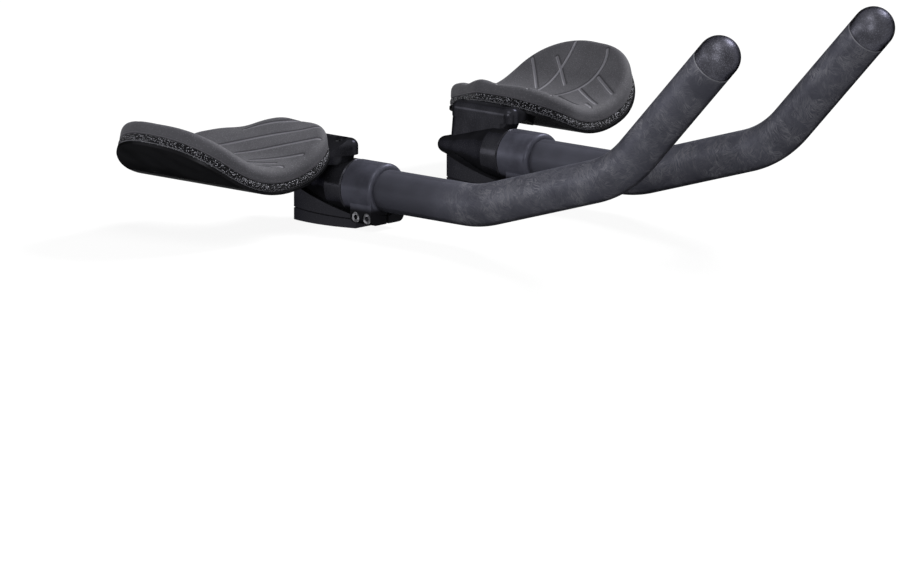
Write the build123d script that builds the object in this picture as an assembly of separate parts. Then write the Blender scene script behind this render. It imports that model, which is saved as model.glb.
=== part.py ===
from build123d import *
import os
from math import cos, radians, sin, tan

# Pair of clip-on aero handlebar extensions with armrests, right and left as mirror images.
# X runs across the bike with the right side positive, Y runs forward and Z up.
# The origin lies on the handlebar seat, midway between the four mounting holes.
# Lengths are in millimetres and angles in degrees. One side is drawn about its own bar axis,
# with x outward from that axis, and is then moved or mirrored into place.

# Layout and fits
SIDE_SPACING = 120.0
SLIDE_CLEARANCE = 0.05
NEST_GAP = 0.12
SCREW_CLEARANCE = 0.1
FACE_GAP = 0.3
STEEP = 0.7

# Extension bar
BAR_DIAMETER = 22.2
BAR_WALL = 1.8
BAR_REAR = -2.0
LEVEL_LENGTH = 100.6
RISE_LENGTH = 99.6
GRIP_LENGTH = 90.0
RISE_ANGLE = 16.3
GRIP_ANGLE = 46.0
RISE_BEND_RADIUS = 68.0
GRIP_BEND_RADIUS = 67.0

# End plug
PLUG_SKIRT = 5.8
PLUG_SPIGOT = 14.0
PLUG_BORE_DEPTH = 10.0
PLUG_WALL = 2.0

# Clamp body with its teardrop tail
BODY_WALL = 2.85
BODY_FRONT = 12.4
BODY_EDGE = 0.6
TAIL_TIP = -40.6
TAIL_RADIUS = 4.6
TAIL_ANGLE = 14.0
BORE_END_GAP = 0.5

# Post on the clamp body that carries the armrest
POST_STAND = 2.6
POST_OFFSET = 4.0
POST_CENTRE = -10.6
POST_PITCH = 29.6
POST_WIDTH = 14.0
POST_FOOT_WIDTH = 8.0
POST_FOOT_OFFSET = 1.0
POST_FOOT_SHIFT = -3.0

# Clamp collar and its pinch lug
COLLAR_WALL = 3.05
COLLAR_LENGTH = 21.4
COLLAR_LIP = 2.4
COLLAR_REAR_EDGE = 0.8
SPIGOT_LENGTH = 5.0
SPIGOT_WALL = 1.4
LUG_HALF_WIDTH = 12.6
LUG_CORNER = 4.0
LUG_SETBACK = 0.6
LUG_SLIT = 1.6
LUG_FLOOR = 1.0

# Pinch bolts
PINCH_RADIUS = 1.5
PINCH_HEAD_RADIUS = 2.75
PINCH_HEAD_HEIGHT = 3.0
PINCH_SINK = 0.5
PINCH_PITCH = 8.0
PINCH_WEB = 1.05
PINCH_TIP_WALL = 2.5
PINCH_SOCKET = 2.5
SOCKET_DEPTH_SHARE = 0.6

# Base plate and riser wedge
BASE_THICKNESS = 5.9
BASE_TILT = -2.5
BASE_REAR = -23.0
BASE_FRONT = 18.4
BASE_REAR_HALF_WIDTH = 12.6
BASE_MIDDLE_HALF_WIDTH = 14.2
BASE_FRONT_HALF_WIDTH = 9.3
BASE_WIDEST = -4.0
BASE_OFFSET = -1.2
BASE_EDGE = 0.7
WEDGE_WEB = 0.7
WEDGE_DROP = 8.8
WEDGE_TILT = -16.5
MOUNT_PITCH = 26.0
MOUNT_HOLE_RADIUS = 2.6
MOUNT_THREAD_DEPTH = 9.0

# Armrest trough, measured at the underside of the cup
TROUGH_OFFSET = 62.0
TROUGH_RISE = 4.6
TROUGH_RADIUS = 57.9
INNER_WING_ANGLE = 24.6
OUTER_WING_ANGLE = 39.3
WING_REACH = 62.0

# Armrest outline, seen from above
PAD_DATUM = 26.0
PAD_WALL_LEAN = 0.4
PAD_CENTRE_OFFSET = 65.2
PAD_CENTRE = -26.1
PAD_WIDTH = 105.0
PAD_LENGTH = 86.4
PAD_LEAN = 3.5
PAD_FRONT_SKEW = 3.9
PAD_REAR_SKEW = 4.0
PAD_CUT_ACROSS = 28.5
PAD_CUT_ALONG = 43.0
PAD_CORNER_INNER_FRONT = 28.0
PAD_CORNER_OUTER_FRONT = 40.0
PAD_CORNER_OUTER_REAR = 38.0
PAD_CORNER_CUT_REAR = 16.0
PAD_CORNER_CUT_INNER = 20.0

# Armrest layers
CUP_THICKNESS = 1.4
CUP_LIP = 0.5
BACKING_THICKNESS = 4.2
FOAM_THICKNESS = 8.4
FOAM_EDGE = 5.2
STRIP_THICKNESS = 0.9
STRIP_WIDTH = 20.0
STRIP_LENGTH = 56.0
STRIP_PITCH = 44.0

# Armrest bracket
SLAB_THICKNESS = 8.4
SLAB_MARGIN = 0.2
SLAB_OVERHANG = 4.2
BRACKET_THICKNESS = 3.0
BRACKET_REACH = 24.5
BRACKET_SWEEP_FRONT = 13.0
BRACKET_SWEEP_REAR = 4.0
BRACKET_CORNER = 5.6
BRACKET_EDGE = 4.2

# Bracket bolts and cup screws
BRACKET_BOLT_RADIUS = 2.0
BRACKET_BOLT_HEAD_RADIUS = 3.5
BRACKET_BOLT_HEAD_HEIGHT = 4.0
BRACKET_BOLT_SINK = 1.8
BRACKET_BOLT_THREAD = 4.5
BRACKET_SOCKET = 3.0
CUP_SCREW_RADIUS = 1.5
CUP_SCREW_HEAD_RADIUS = 2.7
CUP_SCREW_HEAD_HEIGHT = 1.2
CUP_SCREW_LENGTH = 3.9
CUP_SCREW_OFFSET = 19.5
CUP_SCREW_PITCH = 16.0
CUP_SCREW_SOCKET = 2.0

# Sizes that follow from those above
bar_radius = BAR_DIAMETER / 2
bore_radius = bar_radius + SLIDE_CLEARANCE
body_radius = bore_radius + BODY_WALL
collar_radius = bore_radius + COLLAR_WALL
axis_height = BASE_THICKNESS + WEDGE_WEB + collar_radius
bore_end = BAR_REAR - BORE_END_GAP
collar_rear = BODY_FRONT + FACE_GAP
collar_front = collar_rear + COLLAR_LENGTH
lug_rear = BASE_FRONT + FACE_GAP
lug_front = collar_front - LUG_SETBACK
pinch_drop = bore_radius + PINCH_WEB + PINCH_RADIUS
lug_drop = pinch_drop + PINCH_HEAD_RADIUS + LUG_FLOOR
post_rise = body_radius + POST_STAND
slab_inner = POST_OFFSET - POST_WIDTH / 2 - SLAB_MARGIN
slab_half_length = (POST_PITCH + POST_WIDTH) / 2 + SLAB_MARGIN
slab_front = POST_CENTRE + slab_half_length + SLAB_OVERHANG
slab_rear = POST_CENTRE - slab_half_length
backing_base = CUP_THICKNESS + NEST_GAP
foam_base = backing_base + BACKING_THICKNESS + NEST_GAP
foam_top = foam_base + FOAM_THICKNESS
level_tall = axis_height * 2

bar_axis = Plane(origin=(0, 0, axis_height), x_dir=(1, 0, 0), z_dir=(0, 1, 0))


def slope_plane(height, tilt):
    """Plane across the bike that climbs forward by tilt and crosses Y = 0 at a height."""
    return Plane(
        origin=(0, 0, height),
        x_dir=(1, 0, 0),
        z_dir=(0, -sin(radians(tilt)), cos(radians(tilt))),
    )


def turned(*edges):
    """Solid turned about the bar axis from a closed profile of radius against Y."""
    profile = Plane.XZ * make_face(Wire(list(edges)))
    return bar_axis * revolve(profile, Axis.Z)


def polyline_edges(*points):
    """Straight edges that join a run of points."""
    return [Line(first, second) for first, second in zip(points, points[1:])]


def bar_rod(radius, rear, front):
    """Plain cylinder on the bar axis between two stations."""
    rod = Cylinder(radius, front - rear, align=(Align.CENTER, Align.CENTER, Align.MIN))
    return bar_axis * (Pos(0, 0, rear) * rod)


def upright_rod(x, y, radius, bottom, top):
    """Plain upright cylinder between two heights."""
    rod = Cylinder(radius, top - bottom, align=(Align.CENTER, Align.CENTER, Align.MIN))
    return Pos(x, y, bottom) * rod


def socket_bolt(radius, length, head_radius, head_height, socket):
    """Socket-head bolt along -Z with the underside of its head at the origin."""
    head = Cylinder(head_radius, head_height, align=(Align.CENTER, Align.CENTER, Align.MIN))
    shank = Cylinder(radius, length, align=(Align.CENTER, Align.CENTER, Align.MAX))
    depth = head_height * SOCKET_DEPTH_SHARE
    hexagon = RegularPolygon(socket / 2, 6, major_radius=False)
    recess = extrude(Pos(0, 0, head_height - depth) * hexagon, depth)
    return head + shank - recess


# Extension bar and end plug
def bar_path():
    """Centre line: level run, shallow rise and steep grip, joined by tangent bends."""
    start = Vector(0, BAR_REAR, axis_height)
    first = start + Vector(0, LEVEL_LENGTH, 0)
    rise = Vector(0, cos(radians(RISE_ANGLE)), sin(radians(RISE_ANGLE)))
    second = first + rise * RISE_LENGTH
    grip = Vector(0, cos(radians(GRIP_ANGLE)), sin(radians(GRIP_ANGLE)))
    end = second + grip * GRIP_LENGTH
    return FilletPolyline(start, first, second, end, radius=[RISE_BEND_RADIUS, GRIP_BEND_RADIUS])


def extension_bar():
    """Tube of even wall carried along the centre line."""
    path = bar_path()
    section = Plane(origin=path @ 0, z_dir=path % 0) * Circle(bar_radius)
    bore = Plane(origin=path @ 0, z_dir=path % 0) * Circle(bar_radius - BAR_WALL)
    return sweep(section, path) - sweep(bore, path)


def end_plug():
    """Domed plug with a hollow spigot that slides into the open end of the tube."""
    path = bar_path()
    seat = Plane(origin=path @ 1, z_dir=path % 1)
    spigot_radius = bar_radius - BAR_WALL - SLIDE_CLEARANCE
    dome_height = PLUG_SKIRT + bar_radius
    diagonal = bar_radius * cos(radians(45))
    outline = polyline_edges(
        (0, dome_height),
        (0, -PLUG_SPIGOT),
        (spigot_radius, -PLUG_SPIGOT),
        (spigot_radius, 0),
        (bar_radius, 0),
        (bar_radius, PLUG_SKIRT),
    )
    dome = ThreePointArc((bar_radius, PLUG_SKIRT), (diagonal, PLUG_SKIRT + diagonal), (0, dome_height))
    profile = Plane.XZ * make_face(Wire(outline + [dome]))
    hollow = Cylinder(
        spigot_radius - PLUG_WALL, PLUG_BORE_DEPTH, align=(Align.CENTER, Align.CENTER, Align.MIN)
    )
    return seat * (revolve(profile, Axis.Z) - Pos(0, 0, -PLUG_SPIGOT) * hollow)


# Clamp body
def teardrop(grow):
    """Teardrop on the bar axis: ball nose, cone and straight front, all grown by a gap."""
    nose_radius = TAIL_RADIUS + grow
    nose_centre = TAIL_TIP + TAIL_RADIUS
    radius = body_radius + grow
    slope = radians(TAIL_ANGLE)
    touch = (nose_radius * cos(slope), nose_centre - nose_radius * sin(slope))
    shoulder = touch[1] + (radius - touch[0]) / tan(slope)
    half_turn = radians((90 - TAIL_ANGLE) / 2)
    midway = (nose_radius * sin(half_turn), nose_centre - nose_radius * cos(half_turn))
    nose = ThreePointArc((0, nose_centre - nose_radius), midway, touch)
    sides = polyline_edges(
        touch,
        (radius, shoulder),
        (radius, BODY_FRONT - BODY_EDGE),
        (radius - BODY_EDGE, BODY_FRONT),
        (0, BODY_FRONT),
        (0, nose_centre - nose_radius),
    )
    return turned(nose, *sides)


def armrest_post():
    """Leaning post: a long slot at its top seat lofted to a narrower foot inside the body."""
    top = Pos(POST_OFFSET, POST_CENTRE, axis_height + post_rise) * SlotCenterToCenter(
        POST_PITCH, POST_WIDTH, rotation=90
    )
    foot = Pos(POST_FOOT_OFFSET, POST_CENTRE + POST_FOOT_SHIFT, axis_height) * SlotCenterToCenter(
        POST_PITCH, POST_FOOT_WIDTH, rotation=90
    )
    return loft([foot, top])


def bracket_bolt_places():
    """Stations along Y of the two bolts that hold the bracket on its post."""
    return [POST_CENTRE - POST_PITCH / 2, POST_CENTRE + POST_PITCH / 2]


def clamp_body():
    """Teardrop and post in one forging, bored for the bar, the collar and the bolts."""
    body = teardrop(0) + armrest_post()
    body -= bar_rod(bore_radius, bore_end, BODY_FRONT)
    spigot_hole = bore_radius + SPIGOT_WALL + SLIDE_CLEARANCE
    body -= bar_rod(spigot_hole, collar_rear - SPIGOT_LENGTH - FACE_GAP, BODY_FRONT)
    seat = axis_height + post_rise
    for station in bracket_bolt_places():
        bottom = seat - BRACKET_BOLT_THREAD - SCREW_CLEARANCE
        body -= upright_rod(
            POST_OFFSET, station, BRACKET_BOLT_RADIUS + SLIDE_CLEARANCE, bottom, seat
        )
    thread_top = axis_height - body_radius + MOUNT_THREAD_DEPTH
    return body - upright_rod(0, -MOUNT_PITCH / 2, MOUNT_HOLE_RADIUS, 0, thread_top)


# Clamp collar and pinch bolts
def pinch_places():
    """Stations along Y of the two pinch bolts, centred on the lug."""
    middle = (lug_rear + lug_front) / 2
    return [middle - PINCH_PITCH / 2, middle + PINCH_PITCH / 2]


def pinch_seat(station):
    """Frame under a pinch bolt's head, with its Z pointing outward."""
    reach = LUG_HALF_WIDTH - PINCH_SINK - PINCH_HEAD_HEIGHT
    return Plane(
        origin=(reach, station, axis_height - pinch_drop), x_dir=(0, 1, 0), z_dir=(1, 0, 0)
    )


def pinch_length():
    """Length of a pinch bolt from its head to just short of the far side of the lug."""
    reach = LUG_HALF_WIDTH - PINCH_SINK - PINCH_HEAD_HEIGHT
    return reach + LUG_HALF_WIDTH - PINCH_TIP_WALL


def clamp_collar():
    """Split collar with a rounded front lip, a rear spigot and a lug for the pinch bolts."""
    spigot_radius = bore_radius + SPIGOT_WALL
    spigot_rear = collar_rear - SPIGOT_LENGTH
    lip = COLLAR_LIP * cos(radians(45))
    front_curve = ThreePointArc(
        (collar_radius, collar_front - COLLAR_LIP),
        (collar_radius - COLLAR_LIP + lip, collar_front - COLLAR_LIP + lip),
        (collar_radius - COLLAR_LIP, collar_front),
    )
    outline = polyline_edges(
        (collar_radius - COLLAR_LIP, collar_front),
        (bore_radius, collar_front),
        (bore_radius, spigot_rear),
        (spigot_radius, spigot_rear),
        (spigot_radius, collar_rear),
        (collar_radius - COLLAR_REAR_EDGE, collar_rear),
        (collar_radius, collar_rear + COLLAR_REAR_EDGE),
        (collar_radius, collar_front - COLLAR_LIP),
    )
    ring = turned(*outline, front_curve)
    lug_section = make_face(
        FilletPolyline(
            (-LUG_HALF_WIDTH, 0),
            (-LUG_HALF_WIDTH, -lug_drop),
            (LUG_HALF_WIDTH, -lug_drop),
            (LUG_HALF_WIDTH, 0),
            radius=[0, LUG_CORNER, LUG_CORNER, 0],
            close=True,
        )
    )
    lug_plane = Plane(origin=(0, lug_front, axis_height), x_dir=(1, 0, 0), z_dir=(0, -1, 0))
    lug = extrude(lug_plane * lug_section, lug_front - lug_rear)
    lug -= bar_rod(bore_radius, lug_rear, lug_front)
    collar = ring + lug
    slit_length = collar_front - spigot_rear
    slit = Box(LUG_SLIT, slit_length, lug_drop, align=(Align.CENTER, Align.MIN, Align.MAX))
    collar -= Pos(0, spigot_rear, axis_height) * slit
    for station in pinch_places():
        collar -= pinch_hole(station)
    return collar


def pinch_hole(station):
    """Clearance hole and head recess of one pinch bolt."""
    shank = Cylinder(
        PINCH_RADIUS + SLIDE_CLEARANCE,
        pinch_length() + SCREW_CLEARANCE,
        align=(Align.CENTER, Align.CENTER, Align.MAX),
    )
    recess = Cylinder(
        PINCH_HEAD_RADIUS + SCREW_CLEARANCE,
        PINCH_HEAD_HEIGHT + collar_radius,
        align=(Align.CENTER, Align.CENTER, Align.MIN),
    )
    return pinch_seat(station) * (shank + recess)


def pinch_bolts():
    """The two pinch bolts of one side."""
    bolt = socket_bolt(
        PINCH_RADIUS, pinch_length(), PINCH_HEAD_RADIUS, PINCH_HEAD_HEIGHT, PINCH_SOCKET
    )
    return [pinch_seat(station) * bolt for station in pinch_places()]


# Base plate and riser wedge
def leaf():
    """Plan of the base: square tail, bowed sides and a narrower square front."""
    right_side = ThreePointArc(
        (BASE_REAR_HALF_WIDTH, BASE_REAR),
        (BASE_MIDDLE_HALF_WIDTH, BASE_WIDEST),
        (BASE_FRONT_HALF_WIDTH, BASE_FRONT),
    )
    left_side = ThreePointArc(
        (-BASE_FRONT_HALF_WIDTH, BASE_FRONT),
        (-BASE_MIDDLE_HALF_WIDTH, BASE_WIDEST),
        (-BASE_REAR_HALF_WIDTH, BASE_REAR),
    )
    front = Line((BASE_FRONT_HALF_WIDTH, BASE_FRONT), (-BASE_FRONT_HALF_WIDTH, BASE_FRONT))
    rear = Line((-BASE_REAR_HALF_WIDTH, BASE_REAR), (BASE_REAR_HALF_WIDTH, BASE_REAR))
    return Pos(BASE_OFFSET, 0) * make_face(Wire([right_side, front, left_side, rear]))


def base_plate():
    """Leaf-shaped plate, flat below, tilted and bevelled above, with the mounting holes."""
    plate = split(
        extrude(leaf(), level_tall), slope_plane(BASE_THICKNESS, BASE_TILT), keep=Keep.BOTTOM
    )
    plate = chamfer(plate.faces().sort_by(Axis.Z)[-1].edges(), BASE_EDGE)
    for station in (-MOUNT_PITCH / 2, MOUNT_PITCH / 2):
        plate -= upright_rod(0, station, MOUNT_HOLE_RADIUS, 0, level_tall)
    return plate


def riser_wedge():
    """Wedge under the clamp, cradled for the teardrop and the collar, with room for the bolts."""
    wedge = split(
        extrude(leaf(), level_tall), slope_plane(BASE_THICKNESS, BASE_TILT), keep=Keep.TOP
    )
    wedge = split(wedge, slope_plane(axis_height - WEDGE_DROP, WEDGE_TILT), keep=Keep.BOTTOM)
    wedge -= teardrop(NEST_GAP)
    wedge -= bar_rod(collar_radius + NEST_GAP, BODY_FRONT - BODY_EDGE, collar_front)
    wedge -= upright_rod(0, -MOUNT_PITCH / 2, MOUNT_HOLE_RADIUS, 0, level_tall)
    return wedge - upright_rod(0, MOUNT_PITCH / 2, MOUNT_HOLE_RADIUS, 0, BASE_THICKNESS)


# Armrest trough
def trough_line(offset):
    """Ends, tangent points and lowest point of the trough line at a height above the cup."""
    radius = TROUGH_RADIUS - offset
    centre = Vector(TROUGH_OFFSET, axis_height + TROUGH_RISE + TROUGH_RADIUS)
    inner = radians(INNER_WING_ANGLE)
    outer = radians(OUTER_WING_ANGLE)
    inner_touch = centre + Vector(-sin(inner), -cos(inner)) * radius
    outer_touch = centre + Vector(sin(outer), -cos(outer)) * radius
    inner_end = inner_touch + Vector(-cos(inner), sin(inner)) * WING_REACH
    outer_end = outer_touch + Vector(cos(outer), sin(outer)) * WING_REACH
    return inner_end, inner_touch, centre - Vector(0, radius), outer_touch, outer_end


def trough_band(low, high):
    """Section between two trough lines: straight wings joined by a round floor."""
    below = trough_line(low)
    above = trough_line(high)
    return make_face(
        Wire(
            [
                Line(below[0], below[1]),
                ThreePointArc(below[1], below[2], below[3]),
                Line(below[3], below[4]),
                Line(below[4], above[4]),
                Line(above[4], above[3]),
                ThreePointArc(above[3], above[2], above[1]),
                Line(above[1], above[0]),
                Line(above[0], below[0]),
            ]
        )
    )


def along_bike(section, rear, front):
    """Section drawn across the bike, carried along Y between two stations."""
    plane = Plane(origin=(0, front, 0), x_dir=(1, 0, 0), z_dir=(0, -1, 0))
    return extrude(plane * section, front - rear)


def lean_in(outline, height):
    """Outline carried to a height, drawn in so that its side walls lean part of the way towards the wings."""
    inner = PAD_WALL_LEAN * tan(radians(INNER_WING_ANGLE))
    outer = PAD_WALL_LEAN * tan(radians(OUTER_WING_ANGLE))
    share = 1 - (height - PAD_DATUM) * (inner + outer) / PAD_WIDTH
    middle = PAD_CENTRE_OFFSET + PAD_WIDTH * (inner / (inner + outer) - 0.5)
    drawn = scale(outline, by=(share, 1, 1), about=(middle, 0, 0))
    return Pos(0, 0, axis_height + height) * drawn


def trough_layer(outline, low, high):
    """Layer of the armrest between two trough lines, trimmed to a leaning outline."""
    reach = PAD_LENGTH
    band = along_bike(trough_band(low, high), PAD_CENTRE - reach, PAD_CENTRE + reach)
    return band & loft([lean_in(outline, 0), lean_in(outline, 2 * PAD_DATUM)], ruled=True)


def pad_outline():
    """Plan of the pad: a leaning outline, cut across its inner rear corner, with round corners."""
    half_width = PAD_WIDTH / 2
    half_length = PAD_LENGTH / 2
    corners = [
        (-half_width, half_length + PAD_FRONT_SKEW),
        (half_width - PAD_LEAN, half_length - PAD_FRONT_SKEW),
        (half_width + PAD_LEAN / 2, -half_length + PAD_REAR_SKEW),
        (-half_width + PAD_CUT_ACROSS, -half_length - PAD_REAR_SKEW),
        (-half_width, -half_length + PAD_CUT_ALONG),
    ]
    radii = [
        PAD_CORNER_INNER_FRONT,
        PAD_CORNER_OUTER_FRONT,
        PAD_CORNER_OUTER_REAR,
        PAD_CORNER_CUT_REAR,
        PAD_CORNER_CUT_INNER,
    ]
    return Pos(PAD_CENTRE_OFFSET, PAD_CENTRE) * make_face(
        FilletPolyline(*corners, radius=radii, close=True)
    )


def strip_outline(side, grow):
    """Plan of one hook strip, inside or outside the floor of the trough."""
    place = Pos(TROUGH_OFFSET + side * STRIP_PITCH / 2, PAD_CENTRE)
    return place * Rectangle(STRIP_WIDTH + 2 * grow, STRIP_LENGTH + 2 * grow)


def upper_rim(layer):
    """Edges of a trimmed layer where its leaning walls meet its upper face."""
    walls = [face for face in layer.faces() if abs(face.normal_at().Z) < STEEP]
    wall_edges = [edge for wall in walls for edge in wall.edges()]
    upper = [face for face in layer.faces() if face.normal_at().Z >= STEEP]
    rim = [edge for face in upper for edge in face.edges()]
    return [edge for edge in rim if any(edge.is_same(other) for other in wall_edges)]


def armrest_cup():
    """Moulded trough shell with a narrow lip round the pad and holes for its screws."""
    cup = trough_layer(offset(pad_outline(), CUP_LIP), 0, CUP_THICKNESS)
    for station in cup_screw_places():
        cup -= cup_screw_hole(station)
    return cup


def hook_strips():
    """Two hook strips on the floor of the cup."""
    base = CUP_THICKNESS + NEST_GAP / 2
    return [trough_layer(strip_outline(side, 0), base, base + STRIP_THICKNESS) for side in (-1, 1)]


def pad_backing():
    """Mesh layer under the foam, relieved for the hook strips."""
    backing = trough_layer(pad_outline(), backing_base, backing_base + BACKING_THICKNESS)
    for side in (-1, 1):
        pocket = CUP_THICKNESS + STRIP_THICKNESS + NEST_GAP
        backing -= trough_layer(strip_outline(side, FACE_GAP), 0, pocket)
    return backing


def pad_top():
    """Foam cushion with a rounded upper rim."""
    foam = trough_layer(pad_outline(), foam_base, foam_top)
    return fillet(upper_rim(foam), FOAM_EDGE)


# Armrest bracket, its bolts and the cup's screws
def bracket_outline():
    """Plan of the bracket: square over the post and swept in under the cup."""
    outer = POST_OFFSET + BRACKET_REACH
    front = slab_front
    rear = slab_rear
    return make_face(
        FilletPolyline(
            (slab_inner, rear),
            (slab_inner, front),
            (outer, front - BRACKET_SWEEP_FRONT),
            (outer, rear + BRACKET_SWEEP_REAR),
            radius=BRACKET_CORNER,
            close=True,
        )
    )


def bracket_blank():
    """Solid block of the bracket's plan, up to the slab's top and rounded round its upper rim."""
    block = extrude(bracket_outline(), axis_height + post_rise + SLAB_THICKNESS)
    return fillet(block.faces().sort_by(Axis.Z)[-1].edges(), BRACKET_EDGE)


def armrest_bracket():
    """Thick plate: flat over the post, then bent down to follow the underside of the cup."""
    seat = axis_height + post_rise
    slab = Pos(slab_inner, seat) * Rectangle(
        BRACKET_REACH, SLAB_THICKNESS, align=(Align.MIN, Align.MIN)
    )
    clear_of_cup = trough_band(-NEST_GAP, TROUGH_RADIUS / 2)
    arm = trough_band(-NEST_GAP - BRACKET_THICKNESS, -NEST_GAP)
    below_slab = Pos(TROUGH_OFFSET, seat + SLAB_THICKNESS) * Rectangle(
        4 * WING_REACH, 2 * TROUGH_RADIUS, align=(Align.CENTER, Align.MAX)
    )
    over_post = Pos(POST_OFFSET + POST_WIDTH / 2 + FACE_GAP, seat) * Rectangle(
        2 * POST_WIDTH, 2 * POST_WIDTH, align=(Align.MAX, Align.MAX)
    )
    section = (slab - clear_of_cup) + (arm & below_slab) - over_post
    bracket = along_bike(section, slab_rear, slab_front) & bracket_blank()
    for station in bracket_bolt_places():
        bracket -= upright_rod(
            POST_OFFSET, station, BRACKET_BOLT_RADIUS + SLIDE_CLEARANCE, seat, bracket_head_seat()
        )
        bracket -= upright_rod(
            POST_OFFSET,
            station,
            BRACKET_BOLT_HEAD_RADIUS + SCREW_CLEARANCE,
            bracket_head_seat(),
            seat + SLAB_THICKNESS,
        )
    for station in cup_screw_places():
        bracket -= cup_screw_hole(station)
    return bracket


def bracket_head_seat():
    """Height of the face under the heads of the bracket bolts."""
    slab_top = axis_height + post_rise + SLAB_THICKNESS
    return slab_top - BRACKET_BOLT_SINK - BRACKET_BOLT_HEAD_HEIGHT


def bracket_bolts():
    """The two bolts that hold the bracket on its post."""
    length = bracket_head_seat() - axis_height - post_rise + BRACKET_BOLT_THREAD
    bolt = socket_bolt(
        BRACKET_BOLT_RADIUS,
        length,
        BRACKET_BOLT_HEAD_RADIUS,
        BRACKET_BOLT_HEAD_HEIGHT,
        BRACKET_SOCKET,
    )
    return [
        Pos(POST_OFFSET, station, bracket_head_seat()) * bolt for station in bracket_bolt_places()
    ]


def cup_screw_places():
    """Stations along Y of the two cup screws."""
    return [POST_CENTRE - CUP_SCREW_PITCH / 2, POST_CENTRE + CUP_SCREW_PITCH / 2]


def cup_screw_seat(station):
    """Frame on the inner face of the cup's straight wing, with its Z square to the wing."""
    inner_touch = trough_line(CUP_THICKNESS)[1]
    slope = radians(INNER_WING_ANGLE)
    height = inner_touch.Y + (inner_touch.X - CUP_SCREW_OFFSET) * tan(slope)
    return Plane(
        origin=(CUP_SCREW_OFFSET, station, height),
        x_dir=(0, 1, 0),
        z_dir=(sin(slope), 0, cos(slope)),
    )


def countersunk(radius, head_radius, head_height, length):
    """Countersunk screw along -Z with the top of its head at the origin."""
    profile = Plane.XZ * make_face(
        Polyline(
            (0, 0),
            (head_radius, 0),
            (radius, -head_height),
            (radius, -length),
            (0, -length),
            close=True,
        )
    )
    return revolve(profile, Axis.Z)


def cup_screw_hole(station):
    """Countersunk hole for one cup screw."""
    return cup_screw_seat(station) * countersunk(
        CUP_SCREW_RADIUS + SLIDE_CLEARANCE,
        CUP_SCREW_HEAD_RADIUS + SLIDE_CLEARANCE,
        CUP_SCREW_HEAD_HEIGHT,
        CUP_SCREW_LENGTH + SCREW_CLEARANCE,
    )


def cup_screws():
    """The two screws that hold the cup on its bracket."""
    depth = CUP_SCREW_HEAD_HEIGHT * SOCKET_DEPTH_SHARE
    hexagon = RegularPolygon(CUP_SCREW_SOCKET / 2, 6, major_radius=False)
    screw = countersunk(
        CUP_SCREW_RADIUS, CUP_SCREW_HEAD_RADIUS, CUP_SCREW_HEAD_HEIGHT, CUP_SCREW_LENGTH
    )
    screw -= extrude(Pos(0, 0, -depth) * hexagon, depth)
    return [cup_screw_seat(station) * screw for station in cup_screw_places()]


# Both sides
PIECES = {
    "base_plate": base_plate,
    "riser_wedge": riser_wedge,
    "clamp_body": clamp_body,
    "clamp_collar": clamp_collar,
    "pinch_bolts": pinch_bolts,
    "extension_bar": extension_bar,
    "end_plug": end_plug,
    "armrest_bracket": armrest_bracket,
    "bracket_bolts": bracket_bolts,
    "armrest_cup": armrest_cup,
    "cup_screws": cup_screws,
    "hook_strips": hook_strips,
    "pad_backing": pad_backing,
    "pad_top": pad_top,
}


def solids_of(piece):
    """Solids of a piece that is one shape or a list of shapes."""
    shapes = piece if isinstance(piece, list) else [piece]
    return [solid for shape in shapes for solid in shape.solids()]


def main():
    """Write each piece of both sides as a file named for its node."""
    os.makedirs("parts", exist_ok=True)
    for name, make in PIECES.items():
        solids = [Pos(SIDE_SPACING / 2, 0, 0) * solid for solid in solids_of(make())]
        mirrored = [solid.mirror(Plane.YZ) for solid in solids]
        for side, group in (("right", solids), ("left", mirrored)):
            shape = group[0] if len(group) == 1 else Compound(children=group)
            export_step(shape, f"parts/{side}_{name}.step")


main()
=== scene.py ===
"""Dresses a pair of clip-on aero extensions: bent bars, end plugs, armrest pads and every finish.

Lengths are in metres. X runs across the bike with the rider's right positive, Y runs forward and
Z up. Each side is worked out about its own bar axis, with u outward from that axis and v along Y.
"""

from collections import namedtuple
from math import cos, pi, radians, sin, tan

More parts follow.
